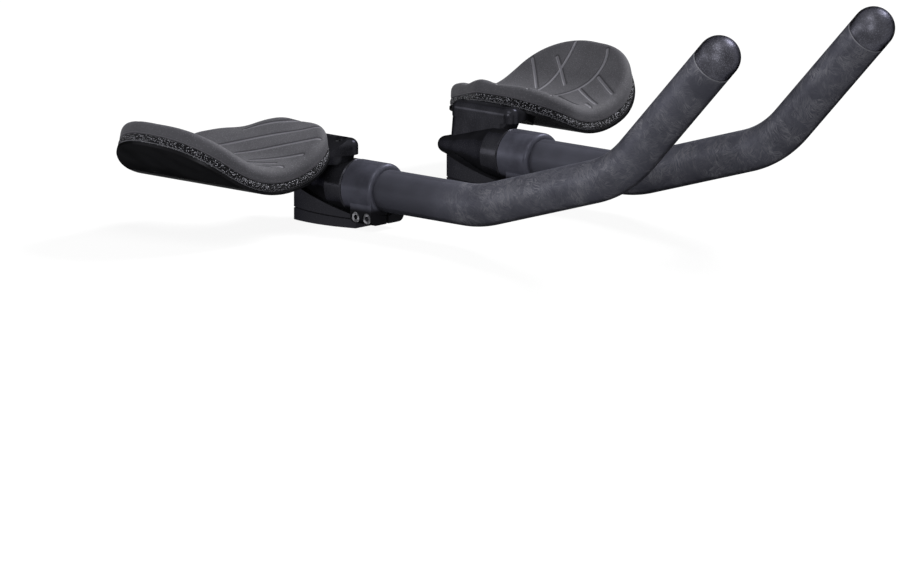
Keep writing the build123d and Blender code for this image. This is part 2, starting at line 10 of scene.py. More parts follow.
import bpy
import numpy as np
from bpy.props import FloatProperty, FloatVectorProperty, IntProperty, PointerProperty
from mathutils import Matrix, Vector


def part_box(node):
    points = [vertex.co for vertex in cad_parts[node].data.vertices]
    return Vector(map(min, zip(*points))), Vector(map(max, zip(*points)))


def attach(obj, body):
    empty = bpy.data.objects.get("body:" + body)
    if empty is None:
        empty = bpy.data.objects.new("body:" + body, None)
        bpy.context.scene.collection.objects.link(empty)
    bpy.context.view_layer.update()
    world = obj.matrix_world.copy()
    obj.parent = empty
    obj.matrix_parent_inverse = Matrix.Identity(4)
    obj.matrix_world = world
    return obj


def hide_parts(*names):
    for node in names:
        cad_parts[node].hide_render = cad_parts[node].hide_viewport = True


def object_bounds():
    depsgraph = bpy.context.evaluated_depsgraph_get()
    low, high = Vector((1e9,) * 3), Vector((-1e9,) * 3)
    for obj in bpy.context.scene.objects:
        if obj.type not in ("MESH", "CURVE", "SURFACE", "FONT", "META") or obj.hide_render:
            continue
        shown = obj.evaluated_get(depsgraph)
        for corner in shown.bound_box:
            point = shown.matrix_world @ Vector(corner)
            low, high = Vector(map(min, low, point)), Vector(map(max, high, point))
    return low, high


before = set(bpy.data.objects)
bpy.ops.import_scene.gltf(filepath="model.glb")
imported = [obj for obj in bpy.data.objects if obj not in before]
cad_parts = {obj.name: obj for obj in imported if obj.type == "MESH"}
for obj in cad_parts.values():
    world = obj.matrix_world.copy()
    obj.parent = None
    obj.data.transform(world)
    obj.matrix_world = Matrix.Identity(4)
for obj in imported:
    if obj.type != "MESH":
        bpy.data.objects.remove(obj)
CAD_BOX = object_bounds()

bl_info = {
    "name": "Aero Extension Dresser",
    "version": (1, 0, 0),
    "blender": (4, 5, 0),
    "location": "View3D > Sidebar > Aero Extension",
    "description": "Builds the bars, plugs, pads and finishes of a pair of clip-on aero extensions",
    "category": "Object",
}

# Sides of the bike, as the name that starts each node and the sign of X
SIDES = {"right": 1.0, "left": -1.0}

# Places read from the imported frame
BAR_LOW, BAR_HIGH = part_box("right_extension_bar")
BAR_RADIUS = (BAR_HIGH.x - BAR_LOW.x) / 2
BAR_OFFSET = (BAR_HIGH.x + BAR_LOW.x) / 2
AXIS_HEIGHT = BAR_LOW.z + BAR_RADIUS
FLOOR_HEIGHT = CAD_BOX[0].z


def setting(kind, **fixed):
    """Maker of one kind of setting, from its name, its description and its default."""
    return lambda name, description, default: kind(
        name=name, description=description, default=default, **fixed
    )


# Kinds of setting, with angles in radians and colours in scene-linear parts
length = setting(FloatProperty, unit="LENGTH", precision=5)
angle = setting(FloatProperty, subtype="ANGLE")
share = setting(FloatProperty, min=0, max=1, subtype="FACTOR")
count = setting(IntProperty, min=3)
colour = setting(FloatVectorProperty, min=0, max=1, size=3, subtype="COLOR")
millimetres = setting(FloatProperty, unit="CAMERA", min=1)


class BarSizes(bpy.types.PropertyGroup):
    """Bent tube and the plug in its end."""

    level_length: length("Level run", "From the rear end to the first bend's corner", 0.1006)
    rise_length: length("Rise", "Between the corners of the two bends", 0.0996)
    grip_length: length("Grip", "From the second bend's corner to the open end", 0.0900)
    rise_angle: angle("Rise angle", "Slope of the rise above level", radians(16.3))
    grip_angle: angle("Grip angle", "Slope of the grip above level", radians(46.0))
    rise_bend: length("First bend", "Centre-line radius of the first bend", 0.068)
    grip_bend: length("Second bend", "Centre-line radius of the second bend", 0.067)
    wall: length("Wall", "Thickness of the tube", 0.0018)
    edge: length("Edge", "Rounding of the tube's cut ends", 0.0006)
    step: length("Step", "Spacing of the rings along the tube", 0.002)
    around: count("Around", "Points round the tube", 112)
    plug_skirt: length("Plug skirt", "Straight part of the plug outside the tube", 0.0058)
    plug_spigot: length("Plug spigot", "Part of the plug inside the tube", 0.014)
    plug_fit: length("Plug fit", "Clearance of the spigot in the tube", 0.00005)
    plug_seam: length("Plug seam", "Rounding of the plug's shoulder at the tube", 0.0005)
    dome_rows: count("Dome rows", "Rings over the plug's dome", 40)


class ArmrestSizes(bpy.types.PropertyGroup):
    """Trough and outline of the armrest, and the layers of its pad."""

    trough_offset: length("Trough offset", "From the bar axis to the lowest line of the trough", 0.062)
    trough_rise: length("Trough rise", "Height of that line above the bar axis", 0.0046)
    trough_radius: length("Trough radius", "Radius of the round floor under the cup", 0.0579)
    inner_wing: angle("Inner wing", "Slope of the wing beside the bar", radians(24.6))
    outer_wing: angle("Outer wing", "Slope of the wing away from the bar", radians(39.3))
    datum: length("Outline height", "Height above the bar axis at which the outline is full size", 0.026)
    wall_lean: share("Wall lean", "How far the side walls lean towards square to the wings", 0.4)
    centre_offset: length("Centre offset", "From the bar axis to the middle of the pad", 0.0652)
    centre: length("Centre", "Middle of the pad along the bike", -0.0261)
    width: length("Width", "Width of the outline", 0.105)
    reach: length("Length", "Length of the outline", 0.0864)
    lean: length("Lean", "How far the outer side leans in towards the front", 0.0035)
    front_skew: length("Front skew", "How far the front edge runs forward at its inner end", 0.0039)
    rear_skew: length("Rear skew", "How far the rear edge runs back at its inner end", 0.004)
    cut_across: length("Cut across", "Width of the cut at the inner rear corner", 0.0285)
    cut_along: length("Cut along", "Length of the cut at the inner rear corner", 0.043)
    inner_front: length("Inner front corner", "Rounding of that corner", 0.028)
    outer_front: length("Outer front corner", "Rounding of that corner", 0.040)
    outer_rear: length("Outer rear corner", "Rounding of that corner", 0.038)
    cut_rear: length("Rear end of the cut", "Rounding of that corner", 0.016)
    cut_inner: length("Inner end of the cut", "Rounding of that corner", 0.020)
    mesh_base: length("Mesh base", "Underside of the mesh layer above the cup's underside", 0.00152)
    mesh_height: length("Mesh height", "Thickness of the mesh layer", 0.0042)
    mesh_edge: length("Mesh edge", "Rounding of the mesh layer's edges", 0.0009)
    mesh_bulge: length("Mesh bulge", "How far the mesh layer's side stands out", 0.0003)
    foam_base: length("Foam base", "Underside of the foam above the cup's underside", 0.00584)
    foam_height: length("Foam height", "Thickness of the foam", 0.0084)
    foam_rim: length("Foam rim", "Rounding of the foam's upper rim", 0.0052)
    foam_hem: length("Foam hem", "Rounding of the foam's lower edge", 0.0006)
    around: count("Around", "Points round a layer's outline", 640)
    rings: count("Rings", "Rings over the face of the foam", 118)


class GrooveSizes(bpy.types.PropertyGroup):
    """Grooves moulded into the face of the foam."""

    width: length("Half width", "Half width of a groove", 0.0009)
    depth: length("Depth", "Depth of a groove", 0.0007)
    pitch: length("Pitch", "Spacing of the straight grooves on the inner wing", 0.0131)
    slant: angle("Slant", "Direction of the straight grooves from straight outward", radians(121.7))


class FinishColours(bpy.types.PropertyGroup):
    """Colours of the finishes."""

    alloy: colour("Black alloy", "Base, wedge, body and bracket", (0.026, 0.026, 0.031))
    collar: colour("Grey alloy", "Clamp collar", (0.070, 0.071, 0.091))
    # Painted shade: the collar's foot below the bar gets this darker colour to stand for the shade that
    # falls there
    lug_shade: colour("Pinch lug", "Foot of the clamp collar, below the bar", (0.012, 0.012, 0.014))
    steel: colour("Bolt steel", "Bolts and screws", (0.050, 0.050, 0.054))
    bar: colour("Bar", "Plain surface of the bar", (0.076, 0.077, 0.097))
    fibre: colour("Fibre", "Pale fibres in the bar's surface", (0.200, 0.200, 0.225))
    plug: colour("Plug", "End plug", (0.054, 0.054, 0.065))
    cup: colour("Cup", "Moulded shell under the pad", (0.036, 0.036, 0.040))
    strip: colour("Hook strip", "Hook strips in the cup", (0.012, 0.012, 0.013))
    mesh: colour("Mesh", "Knit layer at the edge of the pad", (0.006, 0.006, 0.008))
    glint: colour("Glint", "Bright yarns of the mesh", (0.620, 0.620, 0.690))
    foam: colour("Foam", "Face of the pad", (0.081, 0.080, 0.090))
    floor: colour("Floor", "Floor under the object", (0.12, 0.12, 0.12))


class StageSizes(bpy.types.PropertyGroup):
    """Camera, lights and floor."""

    azimuth: angle("Azimuth", "Turn of the view round the object from straight ahead", radians(132.0))
    elevation: angle("Elevation", "Height of the view above level", radians(10.5))
    distance: length("Distance", "From the camera to the viewed point", 4.5)
    viewed_y: length("Viewed point Y", "Place of the viewed point along the bike", 0.1012)
    viewed_z: length("Viewed point Z", "Height of the viewed point", 0.0328)
    viewed_left: length("Framing left", "From the viewed point left to the picture's centre", 0.05786)
    viewed_down: length("Framing down", "From the viewed point down to the picture's centre", 0.06081)
    lens: millimetres("Lens", "Focal length in millimetres", 346.8)
    sensor: millimetres("Sensor", "Sensor width in millimetres", 36.0)
    floor_half: length("Floor half width", "Half the side of the floor", 40.0)
    floor_glow: share("Floor glow", "Light that the floor adds for the camera", 0.91)
    world_fill: share("World fill", "Strength of the even light from all round", 0.05)


SETTINGS = {
    "aero_bar": BarSizes,
    "aero_armrest": ArmrestSizes,
    "aero_groove": GrooveSizes,
    "aero_finish": FinishColours,
    "aero_stage": StageSizes,
}


# Meshes from grids
def grid_mesh(name, grid, poles=None, uv=None, attributes=None):
    """Mesh of a grid of points whose columns wrap round.

    Row r and column c join to row r + 1 and column c + 1 as one four-sided face. With poles, a fan of
    triangles closes each end on its pole, and without them the last row joins the first. The faces are
    turned round when the sum of their signed volumes is negative. uv, for a grid without poles, is the
    pair of row and column coordinates, with one more entry than the grid has in that direction.
    """
    rows, columns = grid.shape[:2]
    points = grid.reshape(-1, 3)
    here = np.arange(rows if poles is None else rows - 1)
    row, column = (part.ravel() for part in np.meshgrid(here, np.arange(columns), indexing="ij"))
    next_row = (row + 1) % rows
    next_column = (column + 1) % columns
    quads = np.stack(
        [
            row * columns + column,
            row * columns + next_column,
            next_row * columns + next_column,
            next_row * columns + column,
        ],
        axis=1,
    )
    fans = np.zeros((0, 3), int)
    if poles is not None:
        points = np.concatenate([points, poles])
        around = np.arange(columns)
        beside = (around + 1) % columns
        last = (rows - 1) * columns
        first_pole = np.full(columns, rows * columns)
        first_fan = np.stack([first_pole, beside, around], axis=1)
        last_fan = np.stack([first_pole + 1, last + around, last + beside], axis=1)
        fans = np.concatenate([first_fan, last_fan])
    triangles = np.concatenate([quads[:, [0, 1, 2]], quads[:, [0, 2, 3]], fans])
    a, b, c = (points[triangles[:, corner]] for corner in range(3))
    inside_out = np.einsum("ij,ij->", a, np.cross(b, c)) < 0
    if inside_out:
        quads = quads[:, ::-1]
        fans = fans[:, ::-1]
    mesh = bpy.data.meshes.new(name)
    corners = np.concatenate([quads.ravel(), fans.ravel()])
    starts = np.concatenate([np.arange(len(quads)) * 4, len(quads) * 4 + np.arange(len(fans)) * 3])
    mesh.vertices.add(len(points))
    mesh.loops.add(len(corners))
    mesh.polygons.add(len(starts))
    mesh.vertices.foreach_set("co", points.astype(np.float32).ravel())
    mesh.loops.foreach_set("vertex_index", corners.astype(np.int32))
    mesh.polygons.foreach_set("loop_start", starts.astype(np.int32))
    mesh.update(calc_edges=True)
    if uv is not None:
        along, across = uv
        spread = np.stack([row, row, row + 1, row + 1], axis=1)
        turn = np.stack([column, column + 1, column + 1, column], axis=1)
        flat = np.stack([along[spread], across[turn]], axis=-1)
        if inside_out:
            flat = flat[:, ::-1]
        unrolled = mesh.uv_layers.new(name="Unrolled")
        unrolled.uv.foreach_set("vector", flat.astype(np.float32).ravel())
    for key, values in (attributes or {}).items():
        spare = np.zeros(len(points) - values.size)
        layer = mesh.attributes.new(key, "FLOAT", "POINT")
        layer.data.foreach_set("value", np.concatenate([values.ravel(), spare]).astype(np.float32))
    mesh.validate()
    mesh.shade_smooth()
    made = bpy.data.objects.new(name, mesh)
    bpy.context.scene.collection.objects.link(made)
    return made


def turning_line(runs, turns, radii, step):
    """Line of straight runs joined by tangent arcs, as stations, ahead, aside and heading.

    A run loses radius x tan(turn / 2) at each corner. The heading grows by each turn along an arc of
    length radius x turn, and the points are running sums of the heading's cosine and sine.
    """
    runs, turns, radii = (np.asarray(part, float) for part in (runs, turns, radii))
    setback = radii * np.tan(turns / 2)
    straight = runs.copy()
    straight[:-1] -= setback
    straight[1:] -= setback
    arcs = radii * turns
    arc_starts = np.cumsum(straight[:-1] + arcs) - arcs
    whole = straight.sum() + arcs.sum()
    stations = np.linspace(0, whole, int(np.ceil(whole / step)) + 1)
    heading = np.clip((stations[:, None] - arc_starts) / arcs, 0, 1) @ turns
    middle = (heading[1:] + heading[:-1]) / 2
    spacing = np.diff(stations)
    ahead = np.concatenate([[0], np.cumsum(np.cos(middle) * spacing)])
    aside = np.concatenate([[0], np.cumsum(np.sin(middle) * spacing)])
    return stations, ahead, aside, heading


# Bars and plugs
FINE_STEP = 0.0001
EDGE_ROWS = 5
INSIDE_SKIP = 4
SPIGOT_END_RING = 0.2


def bar_line(size):
    """Centre line of the bar: level run, bend, rise, bend and grip."""
    return turning_line(
        (size.level_length, size.rise_length, size.grip_length),
        (size.rise_angle, size.grip_angle - size.rise_angle),
        (size.rise_bend, size.grip_bend),
        FINE_STEP,
    )


def carried(profile, line, sign, around):
    """Grid of rings carried along the bar's centre line.

    A profile row is (station, radius). Its ring is centred on the line at that station, or on the
    straight run on from an end, and point a of it lies at radius x (cos a across, sin a square to the
    heading). The rings start underneath, where the seam is out of sight.
    """
    stations, ahead, aside, heading = line
    station, radius = profile.T
    held = np.clip(station, 0, stations[-1])
    beyond = station - held
    pitch = np.interp(held, stations, heading)
    along = np.interp(held, stations, ahead) + beyond * np.cos(pitch)
    above = np.interp(held, stations, aside) + beyond * np.sin(pitch)
    turn = np.linspace(0, 2 * pi, around, endpoint=False) - pi / 2
    lift = radius[:, None] * np.sin(turn)
    x = BAR_OFFSET + radius[:, None] * np.cos(turn)
    y = BAR_LOW.y + along[:, None] - lift * np.sin(pitch)[:, None]
    z = AXIS_HEIGHT + above[:, None] + lift * np.cos(pitch)[:, None]
    return np.stack([sign * x, y, z], axis=-1)


def rounded_corner(centre, radius, first, last):
    """Rows of a rounded profile corner: centre + radius x (cos, sin) between two angles in degrees."""
    turn = np.radians(np.linspace(first, last, EDGE_ROWS))
    return np.stack([centre[0] + radius * np.cos(turn), centre[1] + radius * np.sin(turn)], axis=1)


def straight_rows(stations, radius):
    """Rows of a profile that all have one radius."""
    return np.stack([stations, np.full(len(stations), radius)], axis=1)


def tube_profile(size, whole):
    """Closed loop of (station, radius) rows: outer wall, front rim, sparser inner wall and rear rim."""
    outer = BAR_RADIUS
    inner = outer - size.wall
    edge = size.edge
    along = np.linspace(edge, whole - edge, int(np.ceil(whole / size.step)))[1:-1]
    return np.concatenate(
        [
            rounded_corner((edge, outer - edge), edge, 180, 90),
            straight_rows(along, outer),
            rounded_corner((whole - edge, outer - edge), edge, 90, 0),
            rounded_corner((whole - edge, inner + edge), edge, 0, -90),
            straight_rows(along[::-INSIDE_SKIP], inner),
            rounded_corner((edge, inner + edge), edge, 270, 180),
        ]
    )


def plug_profile(size, whole):
    """Rows of (station, radius) from the spigot's end over its shoulder and skirt to the dome."""
    spigot = BAR_RADIUS - size.wall - size.plug_fit
    seam = size.plug_seam
    rear = whole - size.plug_spigot
    skirt = whole + size.plug_skirt
    turn = np.linspace(pi / 2, 0, size.dome_rows, endpoint=False)
    dome = np.stack([skirt + BAR_RADIUS * np.cos(turn), BAR_RADIUS * np.sin(turn)], axis=1)
    spread = np.linspace(SPIGOT_END_RING, 1, EDGE_ROWS, endpoint=False) * (spigot - seam)
    end = np.stack([np.full(EDGE_ROWS, rear), spread], axis=1)
    return np.concatenate(
        [
            end,
            rounded_corner((rear + seam, spigot - seam), seam, 180, 90),
            straight_rows(np.linspace(rear + seam, whole - seam, EDGE_ROWS)[1:], spigot),
            np.array([[whole, spigot], [whole, (spigot + BAR_RADIUS - seam) / 2]]),
            rounded_corner((whole + seam, BAR_RADIUS - seam), seam, 180, 90),
            straight_rows(np.linspace(whole + seam, skirt, EDGE_ROWS + 2)[1:-1], BAR_RADIUS),
            dome,
        ]
    )


def make_bar(side, sign, size):
    """One bent tube, with its unrolled length and girth as coordinates for its finish."""
    line = bar_line(size)
    profile = tube_profile(size, line[0][-1])
    grid = carried(profile, line, sign, size.around)
    girth = np.linspace(0, 2 * pi * BAR_RADIUS, size.around + 1)
    stations = np.append(profile[:, 0], profile[0, 0])
    return grid_mesh(f"{side}_bar_tube", grid, uv=(stations, girth))


def make_plug(side, sign, size):
    """One domed plug in the end of the tube."""
    line = bar_line(size)
    profile = plug_profile(size, line[0][-1])
    grid = carried(profile, line, sign, size.around)
    apex = line[0][-1] + size.plug_skirt + BAR_RADIUS
    tips = np.array([[profile[0, 0], 0.0], [apex, 0.0]])
    return grid_mesh(f"{side}_bar_plug", grid, poles=carried(tips, line, sign, 1)[:, 0])


# Armrest pads
WALL_ROWS = 7
RIM_ROWS = 12
HIDDEN_RINGS = 12
FIT_ROUNDS = 8
# Rows of a layer's lower edge, counted from its rim, and how much of the grooves' painted highlight the
# foam's takes
HEM_ROWS = np.arange(EDGE_ROWS) + RIM_ROWS - 1 + WALL_ROWS
FOAM_HEM_HIGHLIGHT = 0.48
# Row of that edge that carries the knit's painted highlight
KNIT_HIGHLIGHT_ROW = HEM_ROWS[1]


def pad_outline(size):
    """Points of the pad's outline about the bar axis, and the outward direction at each.

    From the middle of its front edge the outline runs round five corners, each an arc between straight
    runs. The outward direction at heading h is (sin h, -cos h).
    """
    half_width = size.width / 2
    half_length = size.reach / 2
    corners = np.array(
        [
            (-half_width, half_length + size.front_skew),
            (-half_width, -half_length + size.cut_along),
            (-half_width + size.cut_across, -half_length - size.rear_skew),
            (half_width + size.lean / 2, -half_length + size.rear_skew),
            (half_width - size.lean, half_length - size.front_skew),
        ]
    )
    radii = (size.inner_front, size.cut_inner, size.cut_rear, size.outer_rear, size.outer_front)
    legs = corners - np.roll(corners, 1, axis=0)
    bearing = np.unwrap(np.arctan2(legs[:, 1], legs[:, 0]))
    turns = np.append(np.diff(bearing), bearing[0] + 2 * pi - bearing[-1])
    runs = np.hypot(legs[:, 0], legs[:, 1])
    runs = np.append(runs, runs[0] / 2)
    runs[0] /= 2
    stations, ahead, aside, heading = turning_line(runs, turns, radii, FINE_STEP)
    spots = np.linspace(0, stations[-1], size.around, endpoint=False)
    ahead, aside, heading = (np.interp(spots, stations, part) for part in (ahead, aside, heading))
    begin = (corners[-1] + corners[0]) / 2 + (size.centre_offset, size.centre)
    first = bearing[0]
    plan = np.stack(
        [
            begin[0] + ahead * cos(first) - aside * sin(first),
            begin[1] + ahead * sin(first) + aside * cos(first),
        ],
        axis=1,
    )
    outward = np.stack([np.sin(heading + first), -np.cos(heading + first)], axis=1)
    return plan, outward


def trough_height(size, u, lift):
    """Height above the bar axis of the trough line at u, raised by lift square to itself.

    The floor is the arc rise + radius - sqrt((radius - lift)^2 - d^2) with d measured from its lowest
    line, and each wing runs on straight at its own slope from the arc's end.
    """
    across = u - size.trough_offset
    radius = size.trough_radius - lift
    slope = np.where(across < 0, size.inner_wing, size.outer_wing)
    on_arc = np.minimum(np.abs(across), radius * np.sin(slope))
    arc = size.trough_rise + size.trough_radius - np.sqrt(radius**2 - on_arc**2)
    return arc + (np.abs(across) - on_arc) * np.tan(slope)


def trough_points(size, plan, lift, sign):
    """Points of a layer, from its plan and its lift above the underside of the cup.

    The walls lean, so u at a height is middle + (1 - lean x (height - datum) / width) x (u - middle),
    with lean the sum of both walls' leans. Height and u are found together by rounds of substitution.
    """
    inner = size.wall_lean * tan(size.inner_wing)
    outer = size.wall_lean * tan(size.outer_wing)
    middle = size.centre_offset + size.width * (inner / (inner + outer) - 0.5)
    u = plan[..., 0]
    leaned = u
    for _ in range(FIT_ROUNDS):
        height = trough_height(size, leaned, lift)
        leaned = middle + (1 - (height - size.datum) * (inner + outer) / size.width) * (u - middle)
    height = trough_height(size, leaned, lift)
    return np.stack([sign * (BAR_OFFSET + leaned), plan[..., 1], AXIS_HEIGHT + height], axis=-1)


def layer_plan(size, inset, scale):
    """Plan of a layer's rings: the outline drawn in by inset, then scaled about the pad's middle."""
    outline, outward = pad_outline(size)
    middle = np.array((size.centre_offset, size.centre))
    ring = outline[None] - inset[:, None, None] * outward[None]
    return middle + scale[:, None, None] * (ring - middle)


def layer_poles(size, high, low, sign):
    """Middle points of a layer's upper and lower face."""
    middle = np.array((size.centre_offset, size.centre))
    return trough_points(size, np.stack([middle, middle]), np.array((high, low)), sign)


def layer_section(low, thick, rim, hem, bulge, rings):
    """Rows of inset, scale and lift for a layer's section.

    They run from the middle of the upper face out to the rim, round it, down a side that stands out
    by bulge x sin, round the hem and back to the middle of the lower face.
    """
    face = np.linspace(0, 1, rings + 1)[1:]
    over = np.linspace(pi / 2, 0, RIM_ROWS)[1:]
    fall = np.linspace(0, 1, WALL_ROWS + 2)[1:-1]
    under = np.linspace(0, -pi / 2, EDGE_ROWS)
    floor = np.linspace(1, 0, HIDDEN_RINGS + 1)[1:-1]
    high = low + thick
    wall_top = high - rim
    wall_low = low + hem
    inset = [
        np.full(rings, rim),
        rim - rim * np.cos(over),
        -bulge * np.sin(pi * fall),
        hem - hem * np.cos(under),
        np.full(HIDDEN_RINGS - 1, hem),
    ]
    scale = [face, np.ones(RIM_ROWS - 1), np.ones(WALL_ROWS), np.ones(EDGE_ROWS), floor]
    lift = [
        np.full(rings, high),
        wall_top + rim * np.sin(over),
        wall_top + (wall_low - wall_top) * fall,
        wall_low + hem * np.sin(under),
        np.full(HIDDEN_RINGS - 1, low),
    ]
    return np.concatenate(inset), np.concatenate(scale), np.concatenate(lift)


# Spans of the parallel grooves on the inner wing, curves of the outer one and branches, in millimetres
MILLIMETRE = 0.001
INNER_SPANS = ((-50, -19), (-61, -6), (-49, -4), (-38, -11), (-28, -18.5))
INNER_START = 5.2
OUTER_CURVES = (
    ((113.0, -40.0), (92.0, -34.5), (70.0, -36.0)),
    ((110.5, -15.5), (92.0, -2.0), (69.0, -20.0)),
)
BRANCHES = (
    ((99.6, -44.5), (81.4, -24.6)),
    ((95.5, -59.5), (74.6, -39.2)),
    ((79.2, -11.8), (65.6, 12.0)),
    ((90.2, -7.4), (79.8, 11.0)),
    ((69.0, -20.0), (56.5, 7.0)),
)
# Shallow dips in the foam, as place, half width and depth in millimetres
DIPS = ((25.0, -45.5, 9.0, 2.2), (13.5, -11.0, 12.0, 1.8), (114.0, -30.0, 26.0, 1.5))
CURVE_STEPS = 14


def groove_runs(groove):
    """Start and end points of the short straight runs that make up every groove.

    A curve is (1 - t)^2 x start + 2t(1 - t) x bend + t^2 x end, with t from 0 to 1.
    """
    slant = np.array((cos(groove.slant), sin(groove.slant)))
    square = np.array((sin(groove.slant), -cos(groove.slant)))
    lines = [np.array(branch) * MILLIMETRE for branch in BRANCHES]
    for row, span in enumerate(INNER_SPANS):
        start = square * (INNER_START * MILLIMETRE + row * groove.pitch)
        lines.append(start + np.outer(span, slant) * MILLIMETRE)
    t = np.linspace(0, 1, CURVE_STEPS)[:, None]
    for start, bend, end in OUTER_CURVES:
        curve = (1 - t) ** 2 * np.array(start) + 2 * t * (1 - t) * np.array(bend) + t**2 * np.array(end)
        lines.append(curve * MILLIMETRE)
    return [(first, second) for line in lines for first, second in zip(line, line[1:])]


def groove_distance(plan, groove):
    """Distance in plan from each point to the nearest groove run."""
    nearest = np.full(plan.shape[:-1], np.inf)
    for first, second in groove_runs(groove):
        run = second - first
        reach = np.clip(((plan - first) @ run) / (run @ run), 0, 1)
        gap = plan - first - reach[..., None] * run
        nearest = np.minimum(nearest, np.hypot(gap[..., 0], gap[..., 1]))
    return nearest


def furrow_mask(distance, groove):
    """Bell curve across a groove: exp(-(distance / width)^2)."""
    return np.exp(-((distance / groove.width) ** 2))


def dip_depth(plan):
    """Sum of a bell curve round each dip: depth x exp(-(distance / half width)^2)."""
    depth = np.zeros(plan.shape[:-1])
    for u, v, half, deep in DIPS:
        gap = np.linalg.norm(plan / MILLIMETRE - (u, v), axis=-1)
        depth += deep * MILLIMETRE * np.exp(-((gap / half) ** 2))
    return depth


def make_foam(side, sign, size, groove):
    """One foam pad: the layer's section, lowered by its grooves and dips, which fade out over the rim."""
    inset, scale, lift = layer_section(
        size.foam_base, size.foam_height, size.foam_rim, size.foam_hem, bulge=0.0, rings=size.rings
    )
    plan = layer_plan(size, inset, scale)
    distance = groove_distance(plan, groove)
    face = np.zeros(len(lift))
    face[: size.rings] = 1.0
    face[size.rings : size.rings + RIM_ROWS - 1] = np.linspace(1, 0, RIM_ROWS - 1)
    furrow_and_highlight = face[:, None] * furrow_mask(distance, groove)
    raised = lift[:, None] - groove.depth * furrow_and_highlight - face[:, None] * dip_depth(plan)
    grid = trough_points(size, plan, raised, sign)
    poles = layer_poles(size, raised[0].mean(), raised[-1].mean(), sign)
    # The foam's lower edge gets part of the grooves' painted highlight and shade
    furrow_and_highlight[HEM_ROWS + size.rings] = FOAM_HEM_HIGHLIGHT
    return grid_mesh(f"{side}_pad_foam", grid, poles=poles, attributes={"furrow_and_highlight": furrow_and_highlight})


def make_mesh_layer(side, sign, size):
    """One knit layer under the foam, with a softly rounded side."""
    inset, scale, lift = layer_section(
        size.mesh_base, size.mesh_height, size.mesh_edge, size.mesh_edge, size.mesh_bulge, HIDDEN_RINGS
    )
    plan = layer_plan(size, inset, scale)
    grid = trough_points(size, plan, lift[:, None], sign)
    hem = np.zeros(grid.shape[:2])
    # Marks the row of the hem that takes a painted highlight
    hem[KNIT_HIGHLIGHT_ROW + HIDDEN_RINGS] = 1.0
    poles = layer_poles(size, lift[0], lift[-1], sign)
    return grid_mesh(f"{side}_pad_mesh", grid, poles=poles, attributes={"hem": hem})


# Shader helpers
DARK_EDGE = (0.0, 0.0, 0.0, 1.0)
WHITE = (1.0, 1.0, 1.0, 1.0)
# Sockets of a colour mix that take its factor and two colours, and the one that gives the result
MIX_SOCKETS = (0, 6, 7)
MIX_RESULT = 2


def add(tree, kind, inputs=None, **settings):
    """A new node with its settings, and its inputs set to values or linked to sockets."""
    made = tree.nodes.new(kind)
    for key, value in settings.items():
        setattr(made, key, value)
    for key, value in (inputs or {}).items():
        if isinstance(value, bpy.types.NodeSocket):
            tree.links.new(value, made.inputs[key])
        else:
            made.inputs[key].default_value = value
    return made


def mixed(tree, mask, first, second):
    """Colour that goes from first to second as the mask goes from 0 to 1."""
    ends = (end if isinstance(end, bpy.types.NodeSocket) else (*end, 1.0) for end in (first, second))
    inputs = dict(zip(MIX_SOCKETS, (mask, *ends)))
    return add(tree, "ShaderNodeMix", inputs, data_type="RGBA").outputs[MIX_RESULT]


def toned(tint, factor):
    """A colour made darker or lighter by a factor."""
    return tuple(part * factor for part in tint)


def mottled(tree, mask, tint, low, high):
    """A tint that goes from one tone to another as the mask goes from 0 to 1."""
    return mixed(tree, mask, toned(tint, low), toned(tint, high))


def ranged(tree, value, low, high, to_low=0.0, to_high=1.0):
    """Smooth step of a value between two limits, spread between two results."""
    node = add(
        tree,
        "ShaderNodeMapRange",
        {"Value": value, "From Min": low, "From Max": high, "To Min": to_low, "To Max": to_high},
        interpolation_type="SMOOTHSTEP",
    )
    return node.outputs["Result"]


def faded(tree, mask, low, high):
    """Value that goes from low to high as the mask goes from 0 to 1."""
    return ranged(tree, mask, 0.0, 1.0, low, high)


def joined(tree, operation, first, second):
    """Result of one arithmetic step on two values."""
    return add(tree, "ShaderNodeMath", {0: first, 1: second}, operation=operation).outputs[0]


def vector_step(tree, operation, first, second):
    """Result of one arithmetic step on two vectors."""
    return add(tree, "ShaderNodeVectorMath", {0: first, 1: second}, operation=operation).outputs[0]


def vector_part(tree, vector, axis):
    """One part of a vector."""
    return add(tree, "ShaderNodeSeparateXYZ", {"Vector": vector}).outputs[axis]


def object_place(tree):
    """Object coordinates, which stay put on a piece at the origin."""
    return add(tree, "ShaderNodeTexCoord").outputs["Object"]


def attribute(tree, name):
    """A value that a piece carries on its points."""
    return add(tree, "ShaderNodeAttribute", attribute_name=name).outputs["Fac"]


def noise(tree, place, scale, detail):
    """Noise over a place, as its value and its colour."""
    return add(tree, "ShaderNodeTexNoise", {"Vector": place, "Scale": scale, "Detail": detail}).outputs


def mosaic(tree, place, scale):
    """Random cells, as the distance from each cell's middle and three random values for each cell."""
    cells = add(tree, "ShaderNodeTexVoronoi", {"Vector": place, "Scale": scale}).outputs
    random = add(tree, "ShaderNodeSeparateColor", {"Color": cells["Color"]}).outputs
    return cells["Distance"], random


def new_group(name, inputs, outputs):
    """Empty shader group with a vector input called Place, float inputs and float outputs."""
    tree = bpy.data.node_groups.new(name, "ShaderNodeTree")
    tree.interface.new_socket("Place", in_out="INPUT", socket_type="NodeSocketVector")
    for way, keys in (("INPUT", inputs), ("OUTPUT", outputs)):
        for key in keys:
            tree.interface.new_socket(key, in_out=way, socket_type="NodeSocketFloat")
    entry = tree.nodes.new("NodeGroupInput")
    leave = tree.nodes.new("NodeGroupOutput")
    return tree, entry.outputs, leave.inputs


